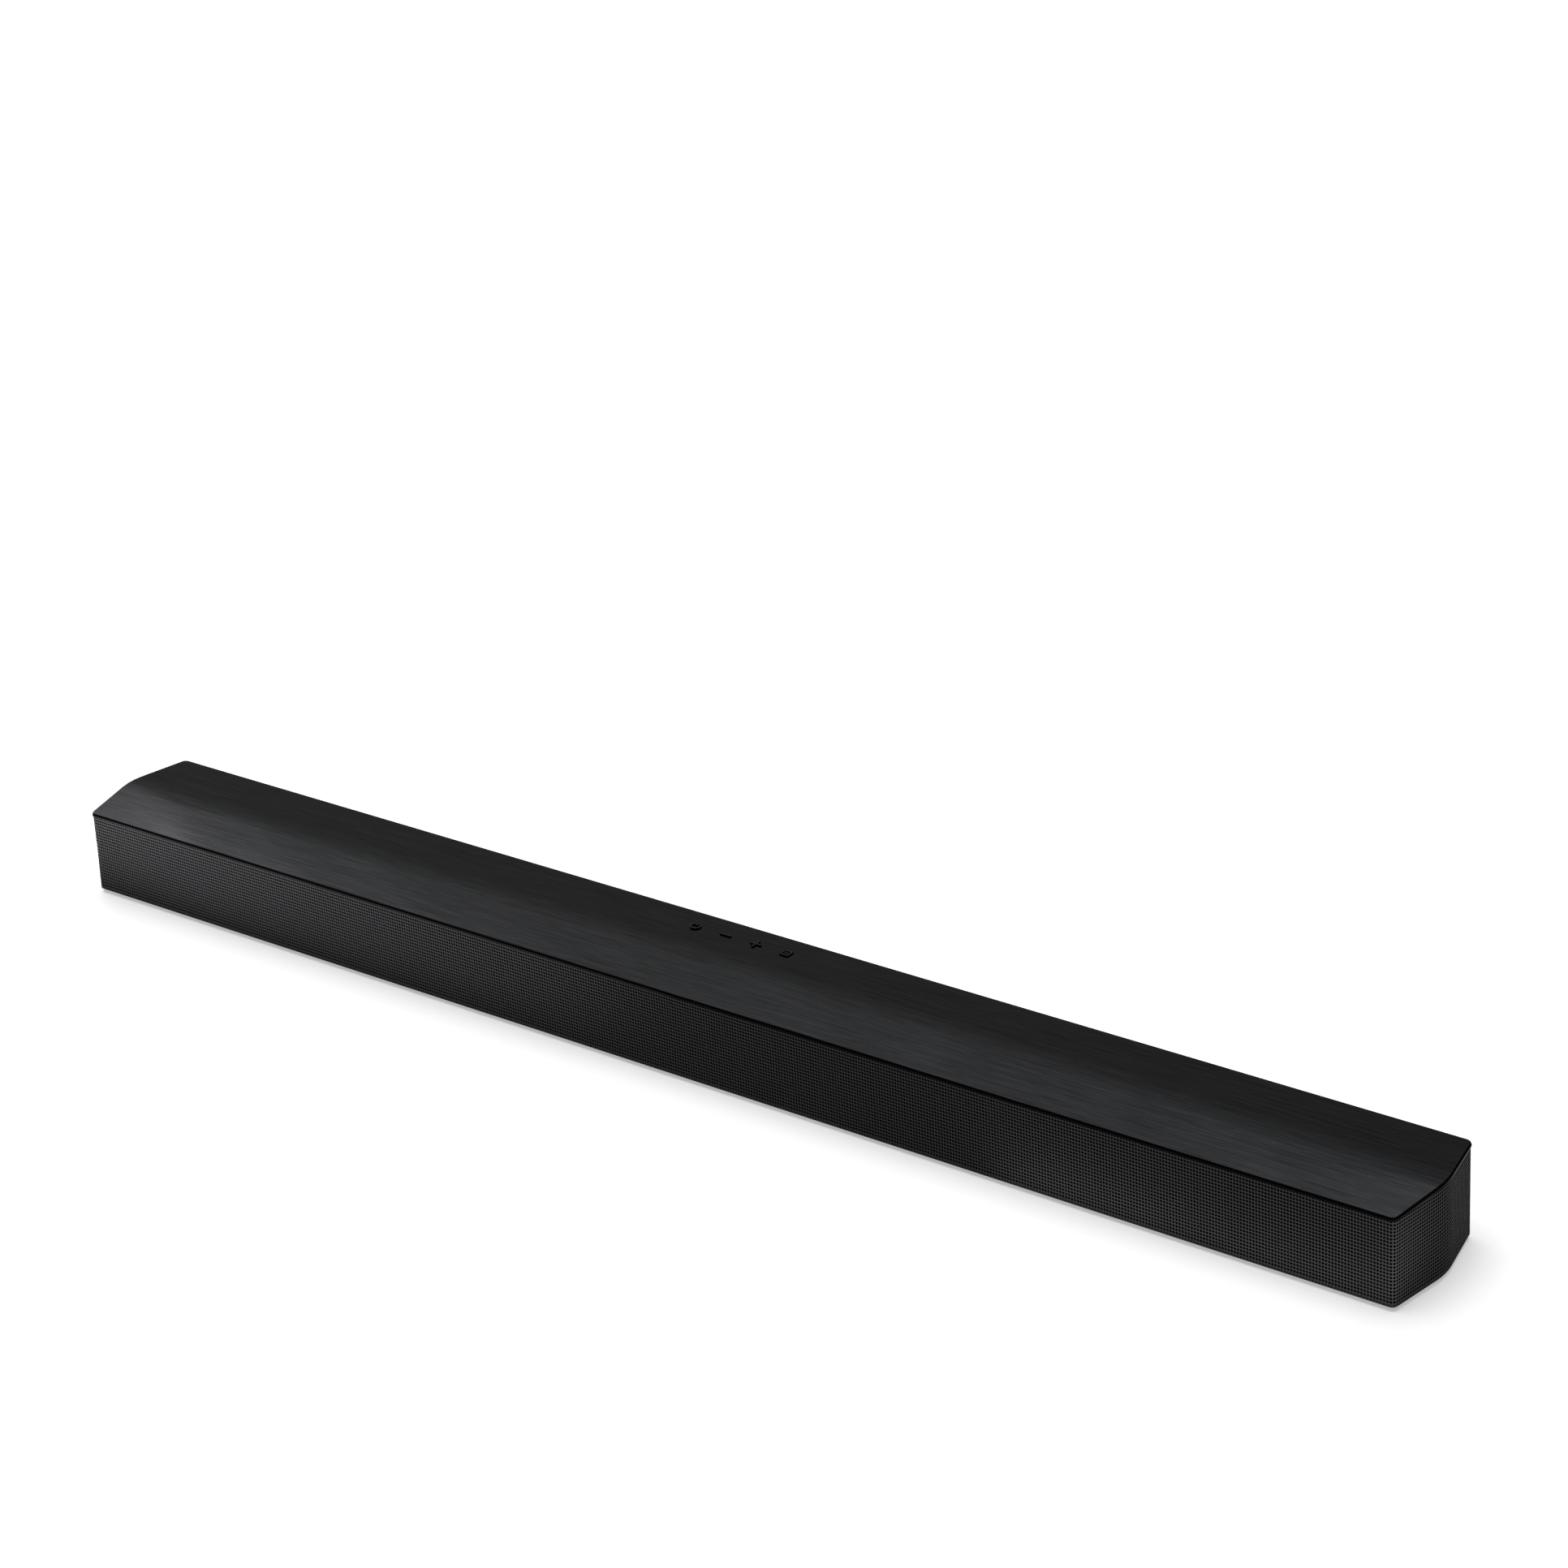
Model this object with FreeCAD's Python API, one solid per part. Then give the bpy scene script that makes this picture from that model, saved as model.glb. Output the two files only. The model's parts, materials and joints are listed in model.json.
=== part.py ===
import FreeCAD, Part
import math
import os

# Soundbar for under a television. Millimetres, +Z up, the front faces -Y, +X is to the right of
# somebody who looks at the front. The origin is the middle of the footprint, on the surface that
# the four feet stand on.

# Outer shape: a long box whose ends bow out to a rounded point at half depth.
APEX_LENGTH = 1060.0       # between the two points where the end walls would meet
FACE_LENGTH = 1042.0       # front face and rear face
DEPTH = 98.0
FOOT_HEIGHT = 2.0
FRONT_HEIGHT = 60.2        # top edge above the underside, at the front
RIDGE_HEIGHT = 63.6        # where the two slopes of the top would meet, at half depth
REAR_HEIGHT = 62.4         # top edge at the rear
RIDGE_RADIUS = 200.0
APEX_RADIUS = 55.0
CORNER_RADIUS = 4.5
SMALLEST_RADIUS = 0.8

# Layers of the shell. An inset is measured inwards from the outline, a drop downwards from the crown.
PANEL_INSET = 0.5
PANEL_THICKNESS = 1.0
PANEL_BEVEL = 0.3
RIM_TOP = 1.15
RIM_BOTTOM = 2.45
RIM_WIDTH = 6.0
RIM_ROUNDING = 0.5
RIM_LIP = 0.5              # the lip hides the upper edge of the grille
GRILLE_INSET = 0.55
GRILLE_THICKNESS = 0.8
GRILLE_TOP = 2.0
GRILLE_RETURN = 12.0       # how far the grille comes round onto the rear face
SCRIM_INSET = 1.5
SCRIM_THICKNESS = 0.4
WALL_INSET = 2.1
WALL = 2.4
LID_BOTTOM = 5.0
HOUSING_TOP = 5.1
FLOOR_BOTTOM = FOOT_HEIGHT + 0.3
FLOOR_TOP = FLOOR_BOTTOM + WALL
REAR_FACE = DEPTH / 2 - GRILLE_INSET
REAR_WALL_INNER = REAR_FACE - 2.8
REAR_SPAN = (GRILLE_RETURN + 0.3 - FACE_LENGTH / 2, FACE_LENGTH / 2 - GRILLE_RETURN - 0.3)
BAFFLE_FRONT = -DEPTH / 2 + 4.0
BAFFLE_BACK = BAFFLE_FRONT + 2.5
ABOVE = 90.0               # higher than anything in the bar
BEYOND = 600.0             # further out than anything in the bar

# Loudspeakers, all at one height
DRIVER_Z = 31.5
WOOFER_X = (-445.0, -380.0, -58.0, 58.0, 380.0, 445.0)
WOOFER_NAMES = ("left_outer", "left_inner", "centre_left", "centre_right", "right_inner", "right_outer")
TWEETER_X = (-320.0, 0.0, 320.0)
TWEETER_NAMES = ("left", "centre", "right")
WOOFER_FLANGE_R = 25.0
WOOFER_HOLE_R = 21.0
CONE_R = 16.4
COIL_R = 8.0
FLANGE_THICKNESS = 1.5
MAGNET_R = 17.0
TWEETER_FLANGE_R = 17.0
TWEETER_HOLE_R = 12.6
DOME_R = 9.6

# Keys on the top, in the shape of their symbols
KEY_X = (-37.05, -12.35, 12.35, 37.05)
KEY_NAMES = ("power_key", "volume_down_key", "volume_up_key", "source_key")
KEY_Y = 29.4
KEY_PROUD = 1.0            # how far a key stands above the panel
KEY_TRAVEL = 0.5
KEY_GAP = 0.2              # between a key and the edge of its opening
SYMBOL = 8.6               # length of the plus and minus strokes
STROKE = 1.25
POWER_RING_R = 4.0
POWER_GAP = 3.6            # opening of the ring
POWER_STROKE_Y = (0.6, 4.3)
SOURCE_SIDE = 6.8
SOURCE_GAP = 1.7           # half of the opening that the arrow goes through
ARROW_TIP = 1.2
ARROW_SHAFT = 0.42
KEY_BASE = 10.6
KEY_BASE_THICKNESS = 1.2
KEY_BASE_DROP = PANEL_THICKNESS + 0.1
KEY_STEM_R = 1.5
POCKET = 12.0              # side of the well in the lid round a key

# Recesses in the rear panel for the leads, and the sockets in them
BAY_Z = (12.0, 40.0)
BAY_DEPTH = 18.0
BAY_WALL = 1.6
SIGNAL_BAY_X = (-52.0, 52.0)
POWER_BAY_X = (-182.0, -134.0)
SOCKET_Y = REAR_FACE - BAY_DEPTH
HDMI_X = (30.0, 8.0)
HDMI_HALF_WIDTH = 7.2
HDMI_SHELL = 0.35
USB_X = -14.0
OPTICAL_X = -35.0
INLET_CENTRE = (-158.0, 26.0)
INLET_WELL_R = 3.9
INLET_PIN_X = 4.3          # each pin to the middle of the inlet
INLET_PIN_R = 1.2

# Circuit boards
BOARD = 1.6
MAIN_BOARD_Z = 16.4
MAIN_BOARD_X = (-76.0, 76.0)
MAIN_BOARD_Y = (-9.0, SOCKET_Y - 0.1)
SIGNAL_SOCKETS_Z = MAIN_BOARD_Z + BOARD
SIDE_BOARD_Z = 10.0
POWER_BOARD_X = (-206.0, -96.0)
POWER_BOARD_Y = (-9.0, SOCKET_Y - 2)
AMPLIFIER_BOARD_X = (92.0, 204.0)
AMPLIFIER_BOARD_Y = (-9.0, 32.0)
BOARD_SCREW_INSET = 4.5
BOARD_PILLAR_R = 3.2
KEY_BOARD_X = (-52.0, 52.0)
KEY_BOARD_Y = (22.5, 37.5)
SWITCH_TOP = FOOT_HEIGHT + 57.7
SWITCH_HEIGHT = 3.5
SWITCH_SIDE = 6.0
RIBBON_Y = (24.0, 24.3)
CAPACITOR_R = 8.0
CAPACITOR_PLACES = ((-112.0, 1.0), (-112.0, 19.0))

# Display and receiver, which look out through the grille
DISPLAY_X = (478.0, 504.0)
DISPLAY_Z = (27.0, 36.0)
RECEIVER_X = 346.0
RECEIVER_R = 2.6

# Wire bundle along the floor
HARNESS_R = 1.8
HARNESS_Y = -13.0
HARNESS_Z = FLOOR_TOP + 2.2
HARNESS_HALF_LENGTH = 440.0
CLIP_X = tuple(-400.0 + 100.0 * i for i in range(9))

# Cooling slots in the rear panel
VENT_START_X = 92.0
VENT_PITCH = 5.5
VENT_COUNT = 18
VENT_WIDTH = 2.4
VENT_HEIGHT = 12.0
VENT_Z = (14.0, 30.0)

# Fasteners, feet and ribs
FOOT_X = 420.0
FOOT_Y = 29.0
FOOT_R = 9.0
SCREW_R = 1.5
SCREW_HEAD_R = 2.9
HOUSING_SCREW_X = (-490.0, -245.0, -112.0, 112.0, 245.0, 490.0)
HOUSING_SCREW_Y = (-34.0, 39.5)
BOSS_R = 4.6
BOSS_HEIGHT = 12.0
POST_R = 3.6               # post under the lid that takes a housing screw
BULKHEAD_X = (-270.0, -215.0, 215.0, 270.0)
BULKHEAD_HEIGHT = 30.0
BRACKET_X = 260.0
BRACKET_Y = 10.0
INSERT_BORE_R = 2.0
INSERT_R = 3.5
INSERT_LENGTH = 8.0


def vec(x, y, z=0.0):
    return FreeCAD.Vector(x, y, z)


def block(x, y, z):
    """A box from three (low, high) pairs."""
    return Part.makeBox(x[1] - x[0], y[1] - y[0], z[1] - z[0], vec(x[0], y[0], z[0]))


def rod(radius, length, base, direction):
    return Part.makeCylinder(radius, length, vec(*base), vec(*direction))


def fuse(solids):
    """One solid from solids that touch or overlap."""
    first = solids[0]
    if len(solids) == 1:
        return first
    return first.fuse(solids[1:]).removeSplitter()


def turned(profile, x, y=0.0, z=DRIVER_Z):
    """A solid of revolution about an axis along Y. The profile is (radius, distance along Y) pairs."""
    points = [vec(r, d) for r, d in profile]
    wire = Part.makePolygon(points + [points[0]])
    solid = Part.Face(wire).revolve(vec(0, 0), vec(0, 1), 360)
    solid.translate(vec(x, y, z))
    return solid


# --- the outline and the crown -------------------------------------------------------------------

def rounded_wire(points, radii):
    """A closed outline with each corner replaced by an arc."""
    edges = []
    last_end = None
    first_start = None
    count = len(points)
    for i in range(count):
        corner = points[i]
        to_previous = (points[i - 1] - corner).normalize()
        to_next = (points[(i + 1) % count] - corner).normalize()
        half_angle = to_previous.getAngle(to_next) / 2
        reach = radii[i] / math.tan(half_angle)
        inward = (to_previous + to_next).normalize()
        centre = corner + inward * (radii[i] / math.sin(half_angle))
        start = corner + to_previous * reach
        end = corner + to_next * reach
        if last_end is None:
            first_start = start
        else:
            edges.append(Part.LineSegment(last_end, start).toShape())
        edges.append(Part.Arc(start, centre - inward * radii[i], end).toShape())
        last_end = end
    edges.append(Part.LineSegment(last_end, first_start).toShape())
    return Part.Wire(edges)


def outline(inset):
    """The six-sided outline seen from above, moved in by inset."""
    slope = math.atan2(APEX_LENGTH - FACE_LENGTH, DEPTH)
    apex = APEX_LENGTH / 2 - inset / math.cos(slope)
    half_depth = DEPTH / 2 - inset
    face = apex - half_depth * math.tan(slope)
    points = [
        vec(-face, -half_depth),
        vec(face, -half_depth),
        vec(apex, 0),
        vec(face, half_depth),
        vec(-face, half_depth),
        vec(-apex, 0),
    ]
    corner = max(CORNER_RADIUS - inset, SMALLEST_RADIUS)
    bend = APEX_RADIUS - inset
    return rounded_wire(points, [corner, corner, bend, corner, corner, bend])


def prism(inset, low=0.0, high=ABOVE):
    solid = Part.Face(outline(inset)).extrude(vec(0, 0, high - low))
    solid.translate(vec(0, 0, low))
    return solid


def ring(outer, inner, low=0.0, high=ABOVE):
    return prism(outer, low, high).cut(prism(inner, low - 1, high + 1))


def below_crown(drop):
    """Everything under the top surface, lowered by drop: two slopes that meet in a rounded ridge."""
    ridge = vec(-BEYOND, 0, FOOT_HEIGHT + RIDGE_HEIGHT - drop)
    front = vec(-BEYOND, -DEPTH / 2, FOOT_HEIGHT + FRONT_HEIGHT - drop)
    rear = vec(-BEYOND, DEPTH / 2, FOOT_HEIGHT + REAR_HEIGHT - drop)
    to_front = (front - ridge).normalize()
    to_rear = (rear - ridge).normalize()
    half_angle = to_front.getAngle(to_rear) / 2
    reach = RIDGE_RADIUS / math.tan(half_angle)
    inward = (to_front + to_rear).normalize()
    centre = ridge + inward * (RIDGE_RADIUS / math.sin(half_angle))
    arc_front = ridge + to_front * reach
    arc_rear = ridge + to_rear * reach
    low = front + to_front * 10
    high = rear + to_rear * 10
    edges = [
        Part.LineSegment(low, arc_front).toShape(),
        Part.Arc(arc_front, centre - inward * RIDGE_RADIUS, arc_rear).toShape(),
        Part.LineSegment(arc_rear, high).toShape(),
        Part.LineSegment(high, vec(-BEYOND, high.y, -10)).toShape(),
        Part.LineSegment(vec(-BEYOND, high.y, -10), vec(-BEYOND, low.y, -10)).toShape(),
        Part.LineSegment(vec(-BEYOND, low.y, -10), low).toShape(),
    ]
    return Part.Face(Part.Wire(edges)).extrude(vec(2 * BEYOND, 0, 0))


def layer(solid, top_drop, bottom_drop):
    """The part of a solid between two depths under the crown."""
    return solid.common(below_crown(top_drop)).cut(below_crown(bottom_drop))


# --- key symbols ---------------------------------------------------------------------------------

def bar(length, width, angle=0.0, x=0.0, y=0.0):
    """A stroke along X, turned about its own middle, as high as the bar."""
    solid = block((-length / 2, length / 2), (-width / 2, width / 2), (0, ABOVE))
    solid.rotate(vec(0, 0), vec(0, 0, 1), angle)
    solid.translate(vec(x, y))
    return solid


def power_symbol(grow):
    """A ring that is open at the back, with a stroke in the gap."""
    width = STROKE + 2 * grow
    outer = rod(POWER_RING_R + grow, ABOVE, (0, 0, 0), (0, 0, 1))
    inner = rod(POWER_RING_R - STROKE - grow, ABOVE, (0, 0, 0), (0, 0, 1))
    gap = POWER_GAP / 2 - grow
    opening = block((-gap, gap), (0, 2 * POWER_RING_R), (0, ABOVE))
    stroke = block((-width / 2, width / 2), (POWER_STROKE_Y[0] - grow, POWER_STROKE_Y[1] + grow), (0, ABOVE))
    return [outer.cut(inner).cut(opening), stroke]


def minus_symbol(grow):
    return [bar(SYMBOL + 2 * grow, STROKE + 2 * grow)]


def plus_symbol(grow):
    across = bar(SYMBOL + 2 * grow, STROKE + 2 * grow)
    along = bar(SYMBOL + 2 * grow, STROKE + 2 * grow, 90)
    return [fuse([across, along])]


def source_symbol(grow):
    """A square frame that is open at the left, with an arrow that goes in."""
    side = SOURCE_SIDE / 2 + grow
    hole = SOURCE_SIDE / 2 - STROKE - grow
    frame = block((-side, side), (-side, side), (0, ABOVE))
    frame = frame.cut(block((-hole, hole), (-hole, hole), (0, ABOVE)))
    gap = SOURCE_GAP - grow
    frame = frame.cut(block((-2 * side, -hole + 0.01), (-gap, gap), (0, ABOVE)))
    half_shaft = ARROW_SHAFT + grow
    shaft = block((-side - 0.6, 0.1), (-half_shaft, half_shaft), (0, ABOVE))
    tip = ARROW_TIP + grow
    head = Part.Face(Part.makePolygon([vec(0, -tip), vec(tip * 1.05, 0), vec(0, tip), vec(0, -tip)]))
    return [frame, fuse([shaft, head.extrude(vec(0, 0, ABOVE))])]


SYMBOLS = (power_symbol, minus_symbol, plus_symbol, source_symbol)


def key_openings():
    """The openings that the keys stand in, one for each stroke."""
    openings = []
    for x, symbol in zip(KEY_X, SYMBOLS):
        for stroke in symbol(KEY_GAP):
            stroke.translate(vec(x, KEY_Y))
            openings.append(stroke)
    return openings


def key(index):
    """A symbol on a square base, with a stem that works the switch below."""
    strokes = SYMBOLS[index](0.0)
    for stroke in strokes:
        stroke.translate(vec(KEY_X[index], KEY_Y))
    base_bottom = KEY_BASE_DROP + KEY_BASE_THICKNESS
    base = bar(KEY_BASE, KEY_BASE, 0, KEY_X[index], KEY_Y)
    base = layer(base, KEY_BASE_DROP, base_bottom)
    raised = [layer(stroke, -KEY_PROUD, base_bottom - 0.4) for stroke in strokes]
    stem = rod(KEY_STEM_R, ABOVE, (KEY_X[index], KEY_Y, SWITCH_TOP - KEY_TRAVEL * 0.4), (0, 0, 1))
    stem = stem.common(below_crown(base_bottom - 0.4))
    return fuse([base, stem] + raised)


# --- outer shell ---------------------------------------------------------------------------------

def upper_edges(solid, inset, drop):
    """The edges of a solid that run along the outline at that depth under the top surface."""
    wire = outline(inset)
    under = below_crown(drop + 0.05)
    edges = []
    for edge in solid.Edges:
        middle = edge.valueAt((edge.FirstParameter + edge.LastParameter) / 2)
        spot = Part.Vertex(vec(middle.x, middle.y))
        if spot.distToShape(wire)[0] < 0.01 and not under.isInside(middle, 0.001, True):
            edges.append(edge)
    return edges


def top_panel():
    """The thin brushed plate, with a small bevel all round."""
    plate = layer(prism(PANEL_INSET), 0.0, PANEL_THICKNESS)
    plate = plate.makeChamfer(PANEL_BEVEL, upper_edges(plate, PANEL_INSET, 0.0))
    return plate.cut(key_openings())


def top_rim():
    """The glossy bead between the plate and the grille."""
    bead = layer(ring(0.0, RIM_WIDTH), RIM_TOP, RIM_BOTTOM)
    groove = layer(ring(RIM_LIP, GRILLE_INSET + GRILLE_THICKNESS + 0.15), GRILLE_TOP - 0.1, RIM_BOTTOM + 1)
    shelf = layer(ring(1.4, RIM_WIDTH), PANEL_THICKNESS, RIM_TOP + 0.1)
    bead = bead.cut(groove)
    bead = bead.makeFillet(RIM_ROUNDING, upper_edges(bead, 0.0, RIM_TOP))
    return fuse([bead, shelf])


def lid():
    """The moulded cover under the plate, with a pocket for each key."""
    raised = layer(prism(RIM_WIDTH + 0.2), PANEL_THICKNESS, LID_BOTTOM - 1)
    body = fuse([layer(prism(WALL_INSET), RIM_BOTTOM + 0.05, LID_BOTTOM), raised])
    for x in KEY_X:
        body = body.cut(bar(POCKET, POCKET, 0, x, KEY_Y))
    posts = []
    for x, y in housing_screw_places():
        post = rod(POST_R, ABOVE, (x, y, FLOOR_TOP + BOSS_HEIGHT + 0.2), (0, 0, 1))
        post = post.cut(rod(SCREW_R - 0.05, 14, (x, y, FLOOR_TOP + BOSS_HEIGHT), (0, 0, 1)))
        posts.append(post.common(below_crown(LID_BOTTOM - 0.5)))
    return fuse([body] + posts)


def rear_opening():
    """The stretch of the rear that the grille leaves free for the rear panel."""
    return block((REAR_SPAN[0] - 0.3, REAR_SPAN[1] + 0.3), (DEPTH / 4, DEPTH), (0, ABOVE))


def grille():
    """The perforated sheet as a plain wall: front, both ends and a short return at the rear."""
    wall = ring(GRILLE_INSET, GRILLE_INSET + GRILLE_THICKNESS, FOOT_HEIGHT)
    return wall.common(below_crown(GRILLE_TOP)).cut(rear_opening())


def scrim():
    """The black cloth that lines the grille."""
    wall = ring(SCRIM_INSET, SCRIM_INSET + SCRIM_THICKNESS, FLOOR_TOP + 0.1)
    wall = wall.common(below_crown(RIM_BOTTOM + 0.1))
    return wall.cut(block((-BEYOND, BEYOND), (REAR_WALL_INNER - 1.6, DEPTH), (0, ABOVE)))


def housing_screw_places():
    return [(x, y) for x in HOUSING_SCREW_X for y in HOUSING_SCREW_Y]


def bracket_places():
    return [(-BRACKET_X, BRACKET_Y), (BRACKET_X, BRACKET_Y)]


def housing():
    """The lower case: floor, end walls, screw bosses, board pillars and bulkheads between chambers."""
    floor = prism(GRILLE_INSET + GRILLE_THICKNESS + 0.1, FLOOR_BOTTOM, FLOOR_TOP)
    walls = ring(WALL_INSET, WALL_INSET + WALL, FLOOR_TOP - 0.1)
    walls = walls.cut(block((-BEYOND, BEYOND), (-DEPTH, BAFFLE_BACK + 0.1), (0, ABOVE)))
    walls = walls.cut(block(REAR_SPAN, (REAR_WALL_INNER - 2, DEPTH), (0, ABOVE)))
    parts = [floor, walls]
    for x in BULKHEAD_X:
        height = (FLOOR_TOP - 0.1, FLOOR_TOP + BULKHEAD_HEIGHT)
        parts.append(block((x - 1, x + 1), (-30, REAR_WALL_INNER), height))
    for x, y in housing_screw_places():
        parts.append(rod(BOSS_R, BOSS_HEIGHT, (x, y, FLOOR_BOTTOM + 0.1), (0, 0, 1)))
    for x, y in bracket_places():
        parts.append(rod(INSERT_R + 3, INSERT_LENGTH + 2, (x, y, FLOOR_BOTTOM), (0, 0, 1)))
    for x, y in board_screw_places():
        pillar = board_height(x) - FLOOR_TOP + 0.1
        parts.append(rod(BOARD_PILLAR_R, pillar, (x, y, FLOOR_TOP - 0.1), (0, 0, 1)))
    body = fuse([part.common(below_crown(HOUSING_TOP)) for part in parts])
    cuts = [block(REAR_SPAN, (REAR_WALL_INNER, DEPTH), (0, ABOVE))]
    for x, y in housing_screw_places():
        cuts.append(rod(SCREW_HEAD_R + 0.2, 4.0, (x, y, FLOOR_BOTTOM - 1), (0, 0, 1)))
        cuts.append(rod(SCREW_R + 0.2, 20, (x, y, FLOOR_BOTTOM), (0, 0, 1)))
    for x, y in bracket_places():
        cuts.append(rod(INSERT_R, INSERT_LENGTH + 1, (x, y, FLOOR_BOTTOM - 1), (0, 0, 1)))
    for x, y in board_screw_places():
        cuts.append(rod(0.95, 6, (x, y, board_height(x) - 6), (0, 0, 1)))
    notch = HARNESS_HALF_LENGTH + 10
    cuts.append(rod(HARNESS_R + 0.4, 2 * notch, (-notch, HARNESS_Y, HARNESS_Z), (1, 0, 0)))
    cuts += foot_recesses()
    return body.cut(cuts)


def rear_panel():
    """The rear wall: a plate between the two ends of the grille, open for the bays and for cooling."""
    plate = block(REAR_SPAN, (REAR_WALL_INNER, REAR_FACE), (FLOOR_BOTTOM, ABOVE))
    plate = plate.common(below_crown(RIM_BOTTOM + 0.3))
    above_case = prism(WALL_INSET - 0.1).cut(below_crown(HOUSING_TOP))
    cuts = [above_case] + vent_slots()
    for x in (SIGNAL_BAY_X, POWER_BAY_X):
        cuts.append(block(x, (REAR_WALL_INNER - 1, DEPTH), BAY_Z))
    return plate.cut(cuts)


def vent_slots():
    """Two rows of upright slots behind the amplifier."""
    slots = []
    for z in VENT_Z:
        for i in range(VENT_COUNT):
            x = VENT_START_X + VENT_PITCH * i
            slots.append(block((x, x + VENT_WIDTH), (REAR_WALL_INNER - 1, DEPTH), (z, z + VENT_HEIGHT)))
    return slots


def foot_places():
    return [(x, y) for x in (-FOOT_X, FOOT_X) for y in (-FOOT_Y, FOOT_Y)]


def foot_recesses():
    return [rod(FOOT_R + 0.3, 1.5, (x, y, FLOOR_BOTTOM - 0.5), (0, 0, 1)) for x, y in foot_places()]


def feet():
    """Four rubber pads with a rounded lower edge, let into the floor."""
    pads = []
    for x, y in foot_places():
        pad = rod(FOOT_R, FLOOR_BOTTOM + 1.0, (x, y, 0), (0, 0, 1))
        lower = [e for e in pad.Edges if e.BoundBox.ZMax < 0.1]
        pads.append(pad.makeFillet(0.6, lower))
    return Part.makeCompound(pads)


def baffle_plate():
    """The stiff front wall that carries the loudspeakers, the display and the receiver."""
    plate = prism(WALL_INSET + 0.1, FLOOR_TOP + 0.1).common(below_crown(HOUSING_TOP))
    plate = plate.common(block((-BEYOND, BEYOND), (BAFFLE_FRONT, BAFFLE_BACK), (0, ABOVE)))
    holes = [rod(WOOFER_HOLE_R, 9, (x, BAFFLE_FRONT - 3, DRIVER_Z), (0, 1, 0)) for x in WOOFER_X]
    holes += [rod(TWEETER_HOLE_R, 9, (x, BAFFLE_FRONT - 3, DRIVER_Z), (0, 1, 0)) for x in TWEETER_X]
    holes.append(block(DISPLAY_X, (-DEPTH, 0), DISPLAY_Z))
    holes.append(rod(RECEIVER_R + 0.6, 9, (RECEIVER_X, BAFFLE_FRONT - 3, DRIVER_Z), (0, 1, 0)))
    return plate.cut(holes)


def baffle_seal():
    """Foam strips behind the lower edge and both ends of the baffle."""
    half = FACE_LENGTH / 2 - 16
    strips = []
    for x in ((-half - 3, -half), (half, half + 3)):
        strips.append(block(x, (BAFFLE_BACK, BAFFLE_BACK + 3), (FLOOR_TOP, FLOOR_TOP + 50)))
    lower = (FLOOR_TOP, FLOOR_TOP + 1.6)
    strips.append(block((5 - half, half - 5), (BAFFLE_BACK, BAFFLE_BACK + 1.5), lower))
    return Part.makeCompound(strips)


# --- loudspeakers --------------------------------------------------------------------------------

def woofer_frames():
    """Flange, four legs and the ring that the magnet is fixed to."""
    y = BAFFLE_BACK
    profile = [
        (20.9, 0), (WOOFER_FLANGE_R, 0), (WOOFER_FLANGE_R, FLANGE_THICKNESS), (22.6, FLANGE_THICKNESS),
        (17.0, 12.5), (17.0, 14.0), (8.9, 14.0), (8.9, 12.5), (15.6, 12.5), (20.9, 1.9),
    ]
    frames = []
    for x in WOOFER_X:
        frame = turned(profile, x, y)
        for angle in (45, 135, 225, 315):
            window = block((14.5, 30), (-7, 7), (0, 8.5))
            window.rotate(vec(0, 0), vec(1, 0, 0), -90)
            window.rotate(vec(0, 0), vec(0, 1, 0), angle)
            window.translate(vec(x, y + 3, DRIVER_Z))
            frame = frame.cut(window)
        frames.append(frame)
    return Part.makeCompound(frames)


def woofer_magnets():
    """Front plate, ring magnet and back plate with the centre pole, as one motor."""
    profile = [
        (8.9, 14.0), (MAGNET_R - 1, 14.0), (MAGNET_R - 1, 16.5), (MAGNET_R, 16.5), (MAGNET_R, 25.0),
        (MAGNET_R - 1.5, 25.0), (MAGNET_R - 1.5, 28.0), (0, 28.0), (0, 14.6), (6.9, 14.6), (6.9, 25.0),
        (10.5, 25.0), (10.5, 16.5), (8.9, 16.5),
    ]
    return Part.makeCompound([turned(profile, x, BAFFLE_BACK) for x in WOOFER_X])


def woofer_cone(x):
    """Cone, dust cap and voice coil, which move as one."""
    profile = [
        (0, 5.2), (3.0, 5.5), (6.0, 6.6), (COIL_R + 0.4, 8.4), (CONE_R, 0.6), (CONE_R, 1.3),
        (COIL_R, 9.9), (COIL_R, 20.0), (COIL_R - 0.6, 20.0), (COIL_R - 0.6, 9.1), (5.8, 7.2), (0, 5.8),
    ]
    return turned(profile, x, BAFFLE_BACK)


def woofer_suspension(x):
    """The rubber half roll round the cone, and the pleated spider behind it."""
    roll = [
        (CONE_R + 0.05, 0.5), (17.0, -0.4), (18.0, -1.2), (19.2, -1.2), (20.2, -0.4), (20.85, 0.4),
        (20.85, 1.0), (19.8, 0.1), (19.0, -0.6), (18.2, -0.6), (17.4, 0.1), (CONE_R + 0.05, 1.1),
    ]
    spider = [
        (COIL_R + 0.05, 11.2), (10.0, 10.8), (12.0, 11.6), (15.9, 11.2), (15.9, 11.6),
        (12.0, 12.0), (10.0, 11.2), (COIL_R + 0.05, 11.6),
    ]
    return Part.makeCompound([turned(roll, x, BAFFLE_BACK), turned(spider, x, BAFFLE_BACK)])


def tweeter_frames():
    profile = [
        (10.9, 0), (TWEETER_FLANGE_R, 0), (TWEETER_FLANGE_R, FLANGE_THICKNESS), (14.5, FLANGE_THICKNESS),
        (14.5, 6.0), (10.9, 6.0),
    ]
    return Part.makeCompound([turned(profile, x, BAFFLE_BACK) for x in TWEETER_X])


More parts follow.
